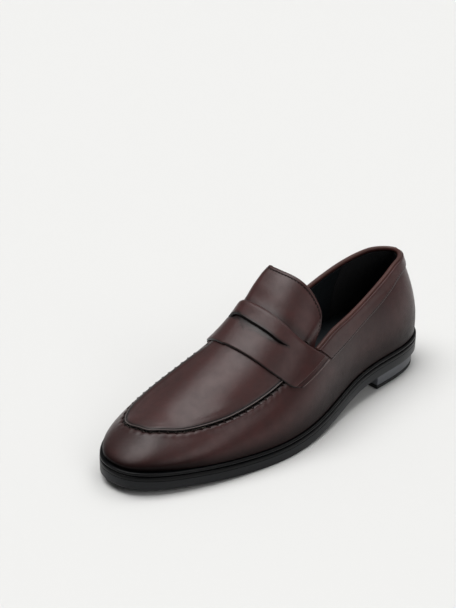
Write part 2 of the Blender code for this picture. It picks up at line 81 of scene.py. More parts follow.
# The last: ridge of the instep, roundness of the sections, fullness above the feather line.
RIDGE_Z = ((-150, -96, -60, -30, 0, 20, 40, 112), (21, 43, 60.5, 75.5, 96, 110, 118, 123))
RIDGE_X = ((-150, -96, -40, 10, 60, 112, 150), (-4.5, -3.9, -4, -13, -6, -2, -1))
ROUNDNESS = ((-150, -96, -40, 10, 60, 150), (2.3, 2.0, 2.1, 2.33, 2.2, 2.2))
FULLNESS = ((-150, -96, -40, 10, 60, 112, 150), (0.8, 0.7, 1.0, 0.5, 0.9, 1.4, 1.2))
LEAN_LATERAL = ((-20, 10, 40, 75, 112, 137, 150), (13, 12.5, 10, 12.7, 20, 19, 13.3))
LEAN_MEDIAL = ((-20, 10, 40, 75, 112, 137, 150), (8, 8, 8.2, 10.4, 17, 16.5, 13.3))
TOPLINE_Z = ((0, 15, 30, 45, 65, 87, 106, 125, 150), (64, 68, 71, 72.5, 75.5, 80.2, 84, 86.6, 87.5))
TOE_WALL = 0.45
RIDGE_TOE, RIDGE_HEEL, RIDGE_SOFT = -96.0, 112.0, 10.0

# Pattern lines.
SEAM_S = (0.20, 0.24, 0.30, 0.34, 0.37, 0.40, 0.43, 0.47, 0.51, 0.54, 0.565, 0.59, 0.62, 0.64, 0.66,
          0.685, 0.705, 0.722, 0.74, 0.765, 0.80)
SEAM_T = (0.40, 0.41, 0.43, 0.46, 0.53, 0.61, 0.67, 0.70, 0.69, 0.62, 0.54, 0.50, 0.505, 0.545, 0.605,
          0.69, 0.745, 0.76, 0.66, 0.43, 0.40)
COLLAR_SEAM = ((10, 20, 38, 60, 85, 108, 122, 150), (50.5, 52.3, 55, 60.3, 66.6, 73.2, 76.2, 78))
STRAP_V = (0, 0.15, 0.3, 0.5, 0.7, 0.85, 1)
STRAP_FRONT = ((0.285, 0.345, 0.41, 0.50, 0.64, 0.82, 1), (-17.5, -25, -29, -33, -37.5, -41, -42.5))
STRAP_REAR = ((0.235, 0.30, 0.365, 0.45, 0.60, 0.80, 1), (16.5, 10, 4.5, -1, -6.5, -9.3, -10.3))
TONGUE_T = (0.43, 0.467, 0.50, 0.567, 0.65, 0.733, 0.833, 1)
TONGUE_ROOT = (2.5, 0.5, -2, -4.5, -7, -10, -12.5, -13.5)
TONGUE_EDGE_T = (0.345, 0.37, 0.385, 0.40, 0.43, 0.467, 0.50, 0.567, 0.65, 0.733, 0.833, 0.92, 1)
TONGUE_EDGE = (6.8, 8.8, 11, 14.8, 17.2, 18.6, 20, 20.6, 20.2, 19.1, 17.2, 15.6, 15.1)
SLOT_MIDDLE_X = -2.2
SLOT_REAR = [(0, -22.2), (9, -21.7), (17, -20.6), (25, -18.8), (31.5, -15.8)]
SLOT_FRONT = [(28, -19.2), (22, -22.6), (14, -24.8), (6, -26.2), (3, -27.7)]
SLOT_CUSP = (0, -29.2)
SLOT_CUT_LOW, SLOT_CUT_HIGH = 60, 105
WALL_END_Y = 25.0
APRON_END_Y = -15.0

# Sizes of the detailed leather pieces.
COLLAR_WIDTH = 14.5
COLLAR_FRONT_Y, COLLAR_SLANT = 19.8, 12.2
STRAP_REACH, STRAP_WIDTH = 75, 34
TONGUE_REACH, TONGUE_WIDTH = 68, 34
TONGUE_THREAD_T = 0.395
FINE_PITCH, FINE_STITCH = 2.7, 2.0
PITCH = 5.6
COLUMN_GAP = 0.95

# How far detailed leather stands over the last, as (distance from its edge, height).
APRON_LIP = [(0, -0.75), (0.25, -0.05), (0.6, 0.45), (0.95, 0.6), (1.35, 0.38), (1.6, 0.02), (1.8, -0.02),
             (2.1, 0.22), (3.2, 0.28), (6, 0.12), (11, 0)]
WALL_LIP = [(0, -1.05), (0.35, -1.0), (0.8, -0.55), (1.4, -0.05), (2.2, 0.2), (3.4, 0.22), (6.5, 0.0)]
COLLAR_LOW_LIP = [(0, 0.35), (0.25, 0.75), (0.6, 1.0), (1.1, 1.12), (1.45, 0.98), (1.8, 1.12), (3.0, 1.2),
                  (COLLAR_WIDTH, 1.2)]
COLLAR_TOP_LIP = [(0, -0.75), (0.4, -0.3), (1.0, -0.02), (3, 0)]
STRAP_END_LIP = [(0, 1.1), (0.3, 2.0), (0.75, 2.6), (1.15, 2.55), (1.75, 1.55), (2.2, 1.45), (7.9, 1.45),
                 (8.3, 1.3), (8.8, 2.3), (9.4, 2.65), (11, 2.4), (16, 2.2), (STRAP_REACH, 2.2)]
STRAP_FRONT_LIP = [(0, -1.15), (0.3, -0.55), (0.8, -0.08), (1.5, 0), (40, 0)]
STRAP_REAR_LIP = [(0, -1.25), (0.5, -0.7), (1.4, -0.15), (2.5, 0), (40, 0)]
TONGUE_LIP = [(0, -0.95), (0.35, -0.3), (0.9, 0.08), (1.8, 0.14), (2.45, 0.05), (2.8, -0.22), (3.15, 0.0),
              (6, 0.0), (70, 0)]
INSTEP_RISE = [(-45, 0), (-22, 0.5), (-8, 1.5), (2, 2.3), (9, 2.3), (18, 1.3), (30, 0.5)]
SEAM_STAND = 1.2
# Colour of the painted highlight along raised rims and lips.
RIM_HIGHLIGHT_COLOR = (0.20, 0.15, 0.145)

# Station where the apron's columns crowd together, and how far round it the surface is smoothed.
PINCH_Y, EASE_REACH, EASE_WIDTH = -108, 45, 5.0

# Band of the sole from its outer lower edge over the bead, as (inset, height above the underside).
BAND_SECTION = [(0.15, BAND_LOW), (0.0, 7.2), (0.0, 8.9), (0.35, 9.35), (1.15, 9.55), (1.3, 9.9),
                (1.1, 10.25), (0.5, 10.4), (0.12, 10.8), (0.05, 11.4), (0.2, 12.0), (0.7, 12.4),
                (1.3, 12.5), (1.75, 12.2), (2.1, 12.15), (2.6, 12.4), (BAND_WIDTH, BAND_HIGH),
                (BAND_WIDTH, BAND_LOW)]
SOCK_INSET = 5.9
PAD_FRONT_Y = 48

# Camera: azimuth, elevation and roll in degrees, lens in mm, aim and distance in metres.
CAMERA_ANGLES = (44.8, 26.9, 0.95)
CAMERA_LENS = 99.0
CAMERA_AIM = (-0.04585, 0.0, 0.0714)
CAMERA_DISTANCE = 1.207

# Light: each soft box has a direction, a width and a brightness.
FLOOR_COLOR = (0.715, 0.715, 0.709, 1)
FAR_SIDE = (-0.55, 0.78, 0.30)
FAR_DIM, FAR_BRIGHT = 0.03, 0.32
SOFTBOXES = [((-0.22, -0.16, 0.96), 0.11, 5.8), ((0.80, -0.02, 0.60), 0.06, 2.6),
             ((-0.05, 0.50, 0.86), 0.06, 3.2)]


def smooth(x):
    """Ease from 0 to 1."""
    x = np.clip(x, 0, 1)
    return x * x * (3 - 2 * x)


def spline(table):
    """Natural cubic through (positions, values), as a function."""
    xs, ys = np.array(table[0], float), np.array(table[1], float)
    n = len(xs)
    h = np.diff(xs)
    matrix, right = np.eye(n), np.zeros(n)
    for i in range(1, n - 1):
        matrix[i, i - 1:i + 2] = h[i - 1], 2 * (h[i - 1] + h[i]), h[i]
        right[i] = 6 * ((ys[i + 1] - ys[i]) / h[i] - (ys[i] - ys[i - 1]) / h[i - 1])
    bend = np.linalg.solve(matrix, right)

    def value(x):
        x = np.clip(x, xs[0], xs[-1])
        i = np.clip(np.searchsorted(xs, x) - 1, 0, n - 2)
        a, b, w = xs[i + 1] - x, x - xs[i], h[i]
        cubic = (bend[i] * a**3 + bend[i + 1] * b**3) / (6 * w)
        return cubic + (ys[i] / w - bend[i] * w / 6) * a + (ys[i + 1] / w - bend[i + 1] * w / 6) * b
    return value


def closed_curve(points):
    """Periodic cubic through plan points, knots spaced by the square root of the chords."""
    p = np.array(points, float)
    n = len(p)
    d = np.sqrt(np.linalg.norm(np.roll(p, -1, 0) - p, axis=1))
    matrix, right = np.zeros((n, n)), np.zeros_like(p)
    for i in range(n):
        after = (i + 1) % n
        matrix[i, i - 1] += d[i - 1]
        matrix[i, i] += 2 * (d[i - 1] + d[i])
        matrix[i, after] += d[i]
        right[i] = 6 * ((p[after] - p[i]) / d[i] - (p[i] - p[i - 1]) / d[i - 1])
    bend = np.linalg.solve(matrix, right)
    knots = np.concatenate([[0], np.cumsum(d)]) / d.sum()

    def value(s):
        s = np.mod(s, 1.0)
        i = np.clip(np.searchsorted(knots, s, side="right") - 1, 0, n - 1)
        j = (i + 1) % n
        w = d[i][..., None]
        b = ((s - knots[i]) * d.sum())[..., None]
        a = w - b
        cubic = (bend[i] * a**3 + bend[j] * b**3) / (6 * w)
        return cubic + (p[i] / w - bend[i] * w / 6) * a + (p[j] / w - bend[j] * w / 6) * b
    return value


sole_edge = closed_curve(SOLE_EDGE)
sole_curve = spline(SOLE_CURVE)
ridge_z, ridge_x = spline(RIDGE_Z), spline(RIDGE_X)
roundness, fullness = spline(ROUNDNESS), spline(FULLNESS)
lean_lateral, lean_medial = spline(LEAN_LATERAL), spline(LEAN_MEDIAL)
topline_z, collar_seam_z = spline(TOPLINE_Z), spline(COLLAR_SEAM)
seam_t = spline((SEAM_S, SEAM_T))


def underside(y):
    """Height of the outsole's underside."""
    return np.maximum(sole_curve(y), 0)


def inward(s):
    """Unit vector pointing into the sole outline."""
    along = sole_edge(s + 1e-4) - sole_edge(s - 1e-4)
    across = np.stack([along[..., 1], -along[..., 0]], -1)
    return across / np.linalg.norm(across, axis=-1)[..., None]


def plan(s, inset):
    """Outline of the sole at fraction s, moved inwards."""
    return sole_edge(s) + np.asarray(inset)[..., None] * inward(s)


def foot_y(s):
    """Station along the shoe where the last meets the sole at fraction s."""
    return plan(s, FEATHER_INSET)[..., 1]


EDGE_S = np.linspace(0, 1, 2401)
EDGE_Y = sole_edge(EDGE_S)[:, 1]
TOE_S = EDGE_S[np.argmin(EDGE_Y)]


def around(y, side):
    """Fraction round the edge at station y; side is +1 for lateral and -1 for medial."""
    if side > 0:
        half = EDGE_S <= TOE_S
        return np.interp(-np.asarray(y, float), -EDGE_Y[half], EDGE_S[half])
    half = EDGE_S >= TOE_S
    return np.interp(y, EDGE_Y[half], EDGE_S[half])


def ridge_station(y):
    """The ridge stops short of the toe and of the heel."""
    a = RIDGE_TOE + RIDGE_SOFT * np.logaddexp(0, (y - RIDGE_TOE) / RIDGE_SOFT)
    return RIDGE_HEEL - RIDGE_SOFT * np.logaddexp(0, (RIDGE_HEEL - a) / RIDGE_SOFT)


def ridge_slope(y):
    """Fall of the ridge towards the toe, eased off over the toe itself so that it keeps a wall."""
    station = ridge_station(y)
    slope = (ridge_z(station + 1) - ridge_z(station - 1)) / 2
    return slope * (1 - TOE_WALL * smooth((-y - 95) / 45))


def last_surface(s, t, instep=False):
    """Points of the last.  Behind the vamp the walls lean in to the topline, except on the instep."""
    foot = plan(s, FEATHER_INSET)
    y = foot[..., 1]
    low = underside(y) + FEATHER
    station = ridge_station(y)
    crest = np.stack([ridge_x(station), station], -1)
    towards = crest - foot
    reach = np.linalg.norm(towards, axis=-1)
    towards = towards / reach[..., None]
    power = 2 / roundness(y)
    angle = np.clip(t, 0, 1) * np.pi / 2
    up = np.sin(angle)**power
    swell = fullness(y)
    arch = reach * (1 - np.cos(angle)**power) - swell * np.sin(np.pi * np.clip(up / 0.75, 0, 1))
    slope = ridge_slope(y)
    z = low + (ridge_z(station) + slope * (y + towards[..., 1] * arch - station) - low) * up
    height = (z - low) / (topline_z(y) + 8 - low)
    lean = np.where(foot[..., 0] > ridge_x(y), lean_lateral(y), lean_medial(y))
    wall = lean * height**2 - swell * np.sin(np.pi * np.clip(height / 0.75, 0, 1))
    share = smooth((y + 10) / 45) * (1 - smooth((height - 0.95) / 0.35)) * (0 if instep else 1)
    run = arch * (1 - share) + wall * share
    point = foot + towards * run[..., None]
    return np.concatenate([point - [CENTRE_X, 0], z[..., None]], -1)


def on_last(s, t, offset, instep=False):
    """Points at a distance outside the last."""
    s, t = np.broadcast_arrays(np.asarray(s, float), np.asarray(t, float))
    tn = np.clip(t, 0.004, 0.98)
    along = last_surface(s + 5e-4, tn, instep) - last_surface(s - 5e-4, tn, instep)
    rise = last_surface(s, tn + 4e-3, instep) - last_surface(s, tn - 4e-3, instep)
    normal = np.cross(rise, along)
    normal /= np.linalg.norm(normal, axis=-1)[..., None]
    slope = ridge_slope(foot_y(s))
    top = np.stack([0 * slope, -slope, 1 + 0 * slope], -1)
    top /= np.linalg.norm(top, axis=-1)[..., None]
    share = smooth((t - 0.88) / 0.12)[..., None]
    normal = normal * (1 - share) + top * share
    normal /= np.linalg.norm(normal, axis=-1)[..., None]
    return last_surface(s, t, instep) + offset * normal


# ---- meshes

def level(s, z):
    """Fraction t at which the wall of the last reaches height z, for arrays of any one shape."""
    s = np.mod(np.asarray(s, float), 1)
    z = np.broadcast_to(np.asarray(z, float), s.shape)
    t = np.linspace(0, 1, 141)
    flat = s.ravel()
    heights = last_surface(flat[:, None] + 0 * t, t + 0 * flat[:, None])[..., 2]
    found = [np.interp(want, row, t) for want, row in zip(z.ravel(), heights)]
    return np.array(found).reshape(s.shape)


def run_length(line):
    """Length run along a line of points, at each of them."""
    return np.concatenate([[0], np.cumsum(np.linalg.norm(np.diff(line, axis=0), axis=1))])


def steps(*spans):
    """Positions from (end, count) spans laid one after the other from zero."""
    out, start = [np.zeros(1)], 0.0
    for end, count in spans:
        out.append(np.linspace(start, end, count + 1)[1:])
        start = end
    return np.concatenate(out)


def profile(distance, table):
    """Height read from a list of (distance, height) pairs, eased between them."""
    xs, ys = np.array(table, float).T
    i = np.clip(np.searchsorted(xs, distance) - 1, 0, len(xs) - 2)
    return ys[i] + (ys[i + 1] - ys[i]) * smooth((distance - xs[i]) / (xs[i + 1] - xs[i]))


def link(name, mesh, material, body, nodes=(), sharp=0.9):
    """Finish a mesh object and tell the frame what it is."""
    obj = bpy.data.objects.new(name, mesh)
    mesh.name = name
    if not mesh.materials:
        mesh.materials.append(material)
    bpy.context.scene.collection.objects.link(obj)
    mesh.shade_smooth()
    mesh.set_sharp_from_angle(angle=sharp)
    if nodes:
        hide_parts(*nodes)
    if body:
        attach(obj, body)
    return obj


def mesh_from(verts, faces, **values):
    """Mesh from arrays of points (mm) and quads, with any values per point kept as attributes."""
    mesh = bpy.data.meshes.new("piece")
    mesh.from_pydata((np.asarray(verts) * MM).tolist(), [], [list(map(int, f)) for f in faces])
    for name, value in values.items():
        layer = mesh.attributes.new(name, "FLOAT", "POINT")
        layer.data.foreach_set("value", np.asarray(value, np.float32))
    work = bmesh.new()
    work.from_mesh(mesh)
    bmesh.ops.remove_doubles(work, verts=work.verts, dist=0.000002)
    bmesh.ops.recalc_face_normals(work, faces=work.faces)
    work.to_mesh(mesh)
    work.free()
    return mesh


def skins(grid):
    """Point numbers of a grid and of a second one behind it, and the quads of both."""
    rows, cols = grid.shape[:2]
    index = np.arange(rows * cols).reshape(rows, cols)
    other = index + rows * cols
    faces = [np.stack([index[:-1, :-1], index[:-1, 1:], index[1:, 1:], index[1:, :-1]], -1),
             np.stack([other[:-1, :-1], other[1:, :-1], other[1:, 1:], other[:-1, 1:]], -1)]
    return index, other, faces


def shell(outer, inner, **values):
    """Closed body between two grids of points: two skins and the four rims between them."""
    index, other, faces = skins(outer)
    rim = np.concatenate([index[0], index[1:, -1], index[-1, -2::-1], index[-2:0:-1, 0]])
    back = rim + index.size
    nxt, back_nxt = np.roll(rim, -1), np.roll(back, -1)
    faces.append(np.stack([rim, back, back_nxt, nxt], -1))
    faces = np.concatenate([f.reshape(-1, 4) for f in faces])
    verts = np.concatenate([outer.reshape(-1, 3), inner.reshape(-1, 3)])
    return mesh_from(verts, faces, **{name: np.tile(v.ravel(), 2) for name, v in values.items()})


def leather_piece(name, s, t, offset, inner, burnish, material, nodes, body="shoe", instep=False, **values):
    """Patch of leather over the last, its outer face at offset and its inner face at inner."""
    outer = on_last(s, t, np.broadcast_to(offset, np.shape(t))[..., None], instep)
    under = on_last(s, t, np.broadcast_to(inner, np.shape(t))[..., None], instep)
    # Darkening kept at the points: rubbed dye and edge paint, and painted shade in grooves, under parts and
    # low on the walls.
    values["burnish"] = burnish
    values = {key: np.clip(np.broadcast_to(v, np.shape(t)), 0, 1) for key, v in values.items()}
    mesh = shell(outer, under, **values)
    return link(name, mesh, material, body, nodes)


def tubes(paths, radius, sides=6):
    """Many short round threads as one mesh; each path is an array of points in mm."""
    verts, faces = [], []
    around_ring = np.arange(sides) * 2 * np.pi / sides
    for path in paths:
        tangent = np.gradient(path, axis=0)
        tangent /= np.linalg.norm(tangent, axis=1)[:, None]
        side = np.cross(tangent, [0.31, 0.23, 0.92])
        side /= np.linalg.norm(side, axis=1)[:, None]
        up = np.cross(tangent, side)
        base = len(verts)
        thin = np.ones(len(path)) * radius
        thin[[0, -1]] *= 0.55
        for point, a, b, r in zip(path, side, up, thin):
            for angle in around_ring:
                verts.append(point + r * (a * np.cos(angle) + b * np.sin(angle)))
        for k in range(len(path) - 1):
            for j in range(sides):
                j2 = (j + 1) % sides
                low, high = base + k * sides, base + (k + 1) * sides
                faces.append((low + j, low + j2, high + j2, high + j))
        faces.append(tuple(base + j for j in range(sides))[::-1])
        last_ring = base + (len(path) - 1) * sides
        faces.append(tuple(last_ring + j for j in range(sides)))
    return mesh_from(verts, faces)


def stitches(name, line, pitch, length, radius, lift, material, body="shoe", instep=False):
    """Row of thread stitches along line(u) -> (s, t, height), u from 0 to 1, each sunk at its two ends."""
    u = np.linspace(0, 1, 900)
    s, t, base = line(u)
    spine = on_last(s, t, (base + lift)[:, None], instep)
    run = run_length(spine)
    paths = []
    for middle in np.arange(pitch / 2, run[-1], pitch):
        reach = middle + np.linspace(-0.5, 0.5, 6) * length
        at = np.interp(reach, run, u)
        s, t, base = line(at)
        dip = base + lift - radius * 1.6 * np.abs(np.linspace(-1, 1, 6))**3
        paths.append(on_last(s, t, dip[:, None], instep))
    return link(name, tubes(paths, radius), material, body)


# ---- materials

def nodes_of(name):
    """New node material, its tree and its Principled shader."""
    material = bpy.data.materials.new(name)
    material.use_nodes = True
    tree = material.node_tree
    return material, tree, tree.nodes["Principled BSDF"]


def add_node(tree, kind, inputs=None, **settings):
    """Node with its settings and its unlinked inputs."""
    node = tree.nodes.new(kind)
    for key, value in settings.items():
        setattr(node, key, value)
    for key, value in (inputs or {}).items():
        node.inputs[key].default_value = value
    return node


def on_object(tree):
    """Coordinates that move with the piece."""
    return add_node(tree, "ShaderNodeTexCoord").outputs["Object"]


def kept_value(tree, name):
    """Value kept at the points of the mesh."""
    return add_node(tree, "ShaderNodeAttribute", attribute_name=name).outputs["Fac"]


def noise(tree, place, scale, detail=4.0, rough=0.55):
    """Noise texture on object coordinates."""
    node = add_node(tree, "ShaderNodeTexNoise", {"Scale": scale, "Detail": detail, "Roughness": rough})
    tree.links.new(place, node.inputs["Vector"])
    return node.outputs["Fac"]


def ramp(tree, value, stops):
    """Colour ramp over a value."""
    node = add_node(tree, "ShaderNodeValToRGB")
    elements = node.color_ramp.elements
    while len(elements) < len(stops):
        elements.new(0.5)
    for element, (position, color) in zip(elements, stops):
        element.position = position
        element.color = (*color, 1)
    tree.links.new(value, node.inputs["Fac"])
    return node.outputs["Color"]


def mixed(tree, factor, first, second):
    """Colour mix; each end is a colour or an output."""
    node = add_node(tree, "ShaderNodeMix", data_type="RGBA")
    for key, value in ((0, factor), (6, first), (7, second)):
        if isinstance(value, (float, int)):
            node.inputs[key].default_value = value
        elif isinstance(value, tuple):
            node.inputs[key].default_value = (*value, 1)
        else:
            tree.links.new(value, node.inputs[key])
    return node.outputs[2]


def scaled(tree, value, low, high, to_low, to_high):
    """Map a value from one range to another."""
    node = add_node(tree, "ShaderNodeMapRange", {1: low, 2: high, 3: to_low, 4: to_high})
    tree.links.new(value, node.inputs[0])
    return node.outputs[0]


def bump(tree, height, strength, distance, before=None):
    """Bump from a height value, on top of another bump."""
    node = add_node(tree, "ShaderNodeBump", {"Strength": strength, "Distance": distance})
    tree.links.new(height, node.inputs["Height"])
    if before is not None:
        tree.links.new(before, node.inputs["Normal"])
    return node.outputs["Normal"]


def leather(name, warm, mid, dark, rough=0.36, grain=0.25):
    """Polished calf: clouded dye, pores, a fine wrinkle grain, and kept values for dark dye with painted
    shade, painted rim highlights and duller gloss.
    """
    material, tree, shader = nodes_of(name)
    place = on_object(tree)
    cloud = noise(tree, place, 22.0, 3.0)
    mottle = noise(tree, place, 140.0, 4.0)
    color = ramp(tree, cloud, [(0.32, mid), (0.68, warm)])
    color = mixed(tree, scaled(tree, mottle, 0.35, 0.75, 0.0, 0.28), color, dark)
    # Darker where dye is rubbed or edges are painted, and where shade is painted into grooves and under
    # parts.
    burnish = kept_value(tree, "burnish")
    color = mixed(tree, burnish, color, dark)
    # Painted highlight along raised rims, mixed towards a lighter tone.
    worn = kept_value(tree, "worn")
    color = mixed(tree, worn, color, RIM_HIGHLIGHT_COLOR)
    tree.links.new(color, shader.inputs["Base Color"])
    wear = scaled(tree, mottle, 0.3, 0.75, rough - 0.05, rough + 0.07)
    tree.links.new(wear, shader.inputs["Roughness"])
    dull = kept_value(tree, "dull")
    tree.links.new(scaled(tree, dull, 0.0, 1.0, 0.25, 0.03), shader.inputs["Specular IOR Level"])
    tree.links.new(scaled(tree, dull, 0.0, 1.0, 0.04, 0.0), shader.inputs["Coat Weight"])
    shader.inputs["Coat Roughness"].default_value = 0.22
    cells = add_node(tree, "ShaderNodeTexVoronoi", {"Scale": 1500.0}, feature="DISTANCE_TO_EDGE")
    tree.links.new(place, cells.inputs["Vector"])
    pores = scaled(tree, cells.outputs["Distance"], 0.0, 0.18, 0.0, 1.0)
    first = bump(tree, pores, grain, 0.00006)
    wrinkles = noise(tree, place, 420.0, 3.0)
    tree.links.new(bump(tree, wrinkles, grain * 0.8, 0.0003, first), shader.inputs["Normal"])
    return material


def moulded(name, base, light, rough, gloss):
    """Satin moulded rubber with a faint mottle and mould texture."""
    material, tree, shader = nodes_of(name)
    place = on_object(tree)
    patch = noise(tree, place, 45.0, 4.0)
    tree.links.new(ramp(tree, patch, [(0.35, base), (0.75, light)]), shader.inputs["Base Color"])
    fine = noise(tree, place, 1560.0, 3.0)
    tree.links.new(scaled(tree, patch, 0.3, 0.8, rough - 0.05, rough + 0.1), shader.inputs["Roughness"])
    shader.inputs["Specular IOR Level"].default_value = gloss
    tree.links.new(bump(tree, fine, 0.18, 0.0001), shader.inputs["Normal"])
    return material


def woven(name, dark, light, scale=900.0):
    """Plain weave: two crossed sets of yarns."""
    material, tree, shader = nodes_of(name)
    place = on_object(tree)
    bands = []
    for direction in ("Y", "Z"):
        wave = add_node(tree, "ShaderNodeTexWave", {"Scale": scale / 3, "Distortion": 0.6},
                        bands_direction=direction)
        tree.links.new(place, wave.inputs["Vector"])
        bands.append(wave.outputs["Fac"])
    both = add_node(tree, "ShaderNodeMath", operation="MULTIPLY")
    tree.links.new(bands[0], both.inputs[0])
    tree.links.new(bands[1], both.inputs[1])
    color = mixed(tree, both.outputs[0], dark, light)
    color = mixed(tree, scaled(tree, noise(tree, place, 60.0), 0.3, 0.7, 0.0, 0.35), color, dark)
    tree.links.new(color, shader.inputs["Base Color"])
    shader.inputs["Roughness"].default_value = 0.85
    shader.inputs["Sheen Weight"].default_value = 0.06
    tree.links.new(bump(tree, both.outputs[0], 0.3, 0.0002), shader.inputs["Normal"])
    return material


def thread(name, dark, light):
    """Twisted waxed thread."""
    material, tree, shader = nodes_of(name)
    place = on_object(tree)
    wave = add_node(tree, "ShaderNodeTexWave", {"Scale": 900.0, "Distortion": 1.5},
                    bands_direction="DIAGONAL")
    tree.links.new(place, wave.inputs["Vector"])
    tree.links.new(mixed(tree, wave.outputs["Fac"], dark, light), shader.inputs["Base Color"])
    shader.inputs["Roughness"].default_value = 0.65
    shader.inputs["Specular IOR Level"].default_value = 0.12
    tree.links.new(bump(tree, wave.outputs["Fac"], 0.4, 0.0001), shader.inputs["Normal"])
    return material


def fibrous(name, base, light, scale, rough=0.85, metallic=0.0):
    """Board, foam, cork and other hidden sheet stock."""
    material, tree, shader = nodes_of(name)
    place = on_object(tree)
    speck = noise(tree, place, scale, 6.0, 0.7)
    tree.links.new(ramp(tree, speck, [(0.38, base), (0.62, light)]), shader.inputs["Base Color"])
    shader.inputs["Roughness"].default_value = rough
    shader.inputs["Metallic"].default_value = metallic
    tree.links.new(bump(tree, speck, 0.35, 0.0004), shader.inputs["Normal"])
    return material


CALF = leather("burgundy_calf", (0.060, 0.0215, 0.0205), (0.042, 0.0170, 0.0163),
               (0.0045, 0.0032, 0.0032), 0.33)
EDGE_CALF = leather("rolled_edge_calf", (0.075, 0.026, 0.021), (0.05, 0.018, 0.015),
                    (0.012, 0.007, 0.006), 0.42)
EDGE_PAINT = leather("painted_edge", (0.006, 0.004, 0.004), (0.004, 0.003, 0.003),
                     (0.002, 0.002, 0.002), 0.5)
BLACK_LINING = leather("black_lining_leather", (0.018, 0.022, 0.025), (0.014, 0.017, 0.020),
                       (0.006, 0.007, 0.008), 0.55, 0.35)
TEXTILE = woven("black_textile", (0.004, 0.004, 0.005), (0.012, 0.012, 0.014))
SUEDE = fibrous("black_suede", (0.006, 0.006, 0.007), (0.014, 0.014, 0.016), 900.0, 0.95)
BAND_RUBBER = moulded("band_rubber", (0.002, 0.0022, 0.0026), (0.004, 0.0043, 0.005), 0.3, 0.14)
SOLE_RUBBER = moulded("sole_rubber", (0.006, 0.0066, 0.008), (0.010, 0.011, 0.0135), 0.38, 0.22)
HEEL_RUBBER = moulded("heel_rubber", (0.070, 0.074, 0.086), (0.092, 0.097, 0.112), 0.38, 0.5)
TOP_RUBBER = moulded("top_piece_rubber", (0.005, 0.0055, 0.006), (0.009, 0.0095, 0.011), 0.6, 0.4)
DARK_THREAD = thread("dark_thread", (0.006, 0.004, 0.004), (0.022, 0.013, 0.011))
BOARD = fibrous("fibre_board", (0.30, 0.20, 0.12), (0.46, 0.34, 0.22), 500.0)
FOAM = fibrous("latex_foam", (0.20, 0.20, 0.19), (0.32, 0.32, 0.30), 1400.0)
CORK = fibrous("pressed_cork", (0.24, 0.13, 0.07), (0.50, 0.33, 0.19), 700.0)
STIFF = fibrous("stiffener_sheet", (0.48, 0.43, 0.36), (0.62, 0.57, 0.49), 300.0, 0.7)
STEEL = fibrous("shank_steel", (0.45, 0.45, 0.47), (0.62, 0.62, 0.64), 200.0, 0.3, 1.0)


# ---- upper

WALL_EDGE = steps((1.0, 5), (2.4, 7), (6.5, 6))


def burnished(s, t):
    """How dark the lower wall is painted along the feather line, most of all round the toe and the heel:
    partly rubbed dye, partly painted shade where the wall turns down to the welt.
    """
    y = foot_y(s)
    toe = smooth((-85 - y) / 50)
    heel = smooth((y - 105) / 40)
    reach = 0.17 + 0.31 * toe + 0.04 * heel
    return smooth(1.08 - t / reach) * (0.82 + 0.18 * toe)


def seam_stand(s):
    """How proud the seam stands on the medial side, where the wall turns over into the apron."""
    return SEAM_STAND * smooth((np.mod(s, 1) - 0.57) / 0.04) * smooth((0.708 - np.mod(s, 1)) / 0.02)


def seam_arc():
    """Length along the apron seam, as a function of s."""
    s = np.linspace(0.0, 1.0, 2400)
    line = on_last(s, seam_t(s), np.zeros(2400)[:, None])
    run = run_length(line)
    return lambda at: np.interp(at, s, run)


seam_run = seam_arc()


def even_columns(start, end, gap):
    """Fractions round the edge, evenly spaced in length along mid-wall."""
    s = np.linspace(start, end, 1500)
    line = on_last(np.mod(s, 1), np.full(1500, 0.45), np.zeros(1500)[:, None])
    run = run_length(line)
    count = int(round(run[-1] / gap))
    return np.interp(np.linspace(0, run[-1], count + 1), run, s)


def rise_per_t(s, t):
    """Length on the last for one unit of t, near t."""
    up = last_surface(s, np.minimum(t + 0.01, 1)) - last_surface(s, t - 0.01)
    return np.linalg.norm(up, axis=-1) / 0.02


def wall_top(s):
    """Upper edge of the wall: the apron seam, then under the strap into the topline."""
    y = foot_y(s)
    topline = level(s, topline_z(y) - 3.4)
    behind = smooth(y / 8)
    return (seam_t(s) - 0.001) * (1 - behind) + topline * behind


def wall_piece(name, s, nodes):
    """Wall from the feather line to its upper edge, gathered at each stitch of the apron seam."""
    top = wall_top(s)
    unit = rise_per_t(s, top)
    edge_t = top[:, None] - WALL_EDGE[None, ::-1] / unit[:, None]
    share = np.linspace(0, 1, 19)[None, :-1]**1.25
    low_t = edge_t[:, :1] * share + 0.003 * (1 - share)
    t = np.concatenate([low_t, edge_t], axis=1)
    distance = np.concatenate([low_t * 0 + 99, WALL_EDGE[None, ::-1] + 0 * edge_t], axis=1)
    y = foot_y(s)
    seamed = (1 - smooth((y + 22) / 6))[:, None]
    beat = (0.5 + 0.5 * np.cos(2 * np.pi * seam_run(s) / PITCH))[:, None]
    lip = profile(np.minimum(distance, 6.4), WALL_LIP)
    notch = beat**3 * np.exp(-((distance - 1.3) / 0.8)**2) * 0.55
    gather = (beat - 0.5) * np.exp(-((distance - 3.2) / 1.6)**2) * -0.22
    offset = (lip - notch + gather) * seamed - 0.25 * (distance < 0.1)
    offset = offset + seam_stand(s)[:, None] * np.exp(-(distance / 3.2)**2)
    toe = smooth((-95 - y) / 40)[:, None]
    offset = offset - 1.0 * toe * smooth((0.16 - t) / 0.16)
    inner = np.minimum(-1.3, offset - 0.5)
    # Darker low on the wall and round the toe (rubbed dye with painted shade), along the waist (painted
    # shade), and painted shade in the crease along the apron seam.
    dull = burnished(s[:, None] + 0 * t, t)
    waist = smooth((y - 5) / 30) * smooth((115 - y) / 30)
    dark = np.maximum(dull, 0.42 * toe + 0.35 * waist[:, None])
    painted_seam_shade = np.maximum(np.exp(-(distance / 1.9)**2), (0.25 + 0.35 * toe) * np.exp(-distance / 5)) * seamed
    dark = np.maximum(dark, painted_seam_shade)
    leather_piece(name, s[:, None] + 0 * t, t, offset, inner, dark, CALF, nodes, dull=dull)


